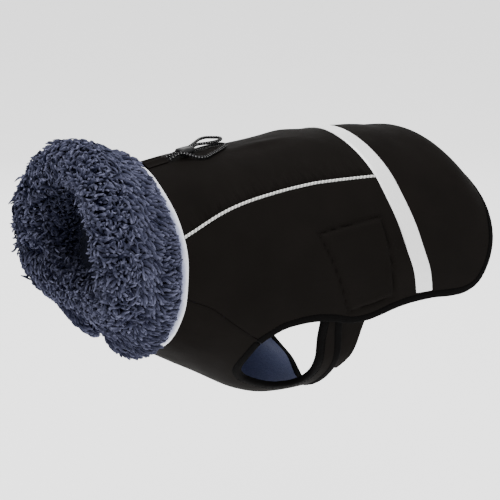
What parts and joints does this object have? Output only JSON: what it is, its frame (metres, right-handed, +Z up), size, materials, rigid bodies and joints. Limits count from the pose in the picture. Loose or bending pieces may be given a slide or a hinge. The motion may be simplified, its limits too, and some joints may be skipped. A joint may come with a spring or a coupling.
{
  "type": "dog winter coat",
  "caption": "Black padded dog coat with a deep turned-back blue fur collar, drawcord, reflective band and piping, filled out as worn.",
  "frame": {"origin": "where the lining touches the middle of the wearer's back, on the coat's middle line", "axes": "+Z up, +X towards the wearer's tail, -Y towards the wearer's left side"},
  "size_m": [0.3893, 0.2234, 0.243],
  "materials": {
    "shell": "woven polyester, soft sheen",
    "fleece": "brushed fleece",
    "reflective": "reflective woven tape",
    "piping": "braided reflective piping",
    "binding": "woven binding, matt",
    "fur": "deep sherpa pile",
    "tape": "woven cotton tape",
    "cord": "braided elastic cord",
    "plastic": "matt moulded"
  },
  "bodies": {
    "root": {"back_panel": "shell", "left_side_panel": "shell", "right_side_panel": "shell", "rear_panel": "shell", "chest_panel": "shell", "left_body_lining": "fleece", "right_body_lining": "fleece", "rear_body_lining": "fleece", "chest_lining": "fleece", "reflective_band": "reflective", "left_piping": "piping", "right_piping": "piping", "hem_binding": "binding", "left_armhole_binding": "binding", "right_armhole_binding": "binding", "belly_binding": "binding", "left_strap_tab": "binding", "right_strap_tab": "binding", "collar_fur_inside": "fur", "collar_fur_flap": "fur", "collar_tape": "tape", "drawcord_casing": "shell", "cord_lock": "plastic", "drawcord_left_tail": "cord", "drawcord_right_tail": "cord", "drawcord_lower_loop": "cord", "drawcord_upper_loop": "cord"}
  },
  "joints": []
}
